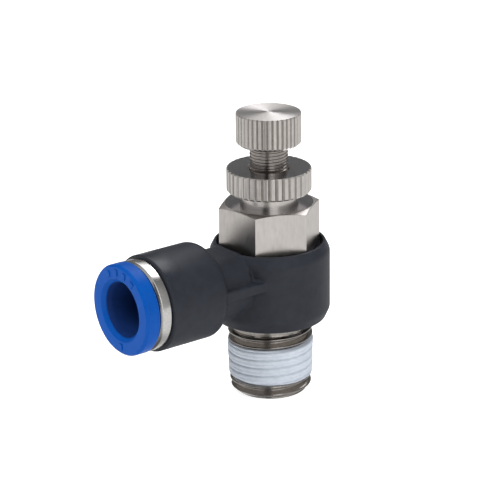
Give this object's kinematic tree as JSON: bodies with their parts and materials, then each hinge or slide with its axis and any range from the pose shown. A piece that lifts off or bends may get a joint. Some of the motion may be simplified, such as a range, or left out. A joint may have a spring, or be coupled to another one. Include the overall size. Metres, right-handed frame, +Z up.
{
  "type": "flow control valve",
  "caption": "Elbow flow control valve: push-in tube port on a swivelling resin body, taper male thread below, knurled needle knob and lock nut on top.",
  "frame": {"origin": "centre of the taper thread's small end face, on the valve axis", "axes": "+Z up the valve axis towards the knob; the tube port faces -X at rest; Y is across the port"},
  "size_m": [0.0382, 0.0188, 0.0454],
  "materials": {
    "nickel_plate": "electroless nickel plate on turned brass, satin with bright edges",
    "sealant": "matt white thread sealant coat",
    "brass": "turned, bare",
    "stainless": "stamped stainless steel",
    "nitrile": "moulded black nitrile rubber",
    "black_resin": "moulded glass-filled PBT, matt charcoal",
    "natural_acetal": "moulded acetal, natural white",
    "blue_acetal": "moulded acetal, satin blue"
  },
  "bodies": {
    "metal_body": {"valve_body": "nickel_plate", "thread_sealant": "sealant", "needle_guide": "brass", "seat_ring": "brass", "retaining_ring": "stainless", "lower_o_ring": "nitrile", "upper_o_ring": "nitrile", "check_seal": "nitrile"},
    "elbow": {"elbow_body": "black_resin", "guide_ring": "nickel_plate", "lock_claws": "stainless", "claw_holder": "natural_acetal", "tube_seal": "nitrile"},
    "release": {"release_ring": "blue_acetal"},
    "needle_carrier": {"needle_o_ring": "nitrile"},
    "needle_and_knob": {"needle": "nickel_plate", "knob": "nickel_plate"},
    "nut_carrier": {"lock_nut_collar": "nickel_plate"},
    "nut": {"lock_nut": "nickel_plate"}
  },
  "joints": [
    {"name": "elbow_swivel", "type": "hinge", "parent": "metal_body", "child": "elbow", "pos_m": [0, 0, 0.01972], "axis": [0, 0, 1], "continuous": true},
    {"name": "release_ring_press", "type": "slide", "parent": "elbow", "child": "release", "axis": [1, 0, 0], "range_m": [-0.0012, 0.0002]},
    {"name": "needle_lift", "type": "slide", "parent": "metal_body", "child": "needle_carrier", "axis": [0, 0, 1], "range_m": [-0.0025, 0.002]},
    {"name": "knob_turn", "type": "hinge", "parent": "needle_carrier", "child": "needle_and_knob", "pos_m": [0, 0, 0.043], "axis": [0, 0, 1], "range_deg": [-1801, 1441]},
    {"name": "lock_nut_lift", "type": "slide", "parent": "metal_body", "child": "nut_carrier", "axis": [0, 0, 1], "range_m": [0, 0.001]},
    {"name": "lock_nut_turn", "type": "hinge", "parent": "nut_carrier", "child": "nut", "pos_m": [0, 0, 0.0346], "axis": [0, 0, 1], "range_deg": [-1, 721]}
  ],
  "couplings": [
    {"joint": "knob_turn", "follows": "needle_lift", "rad_per_m": 12566},
    {"joint": "lock_nut_turn", "follows": "lock_nut_lift", "rad_per_m": 12566}
  ]
}
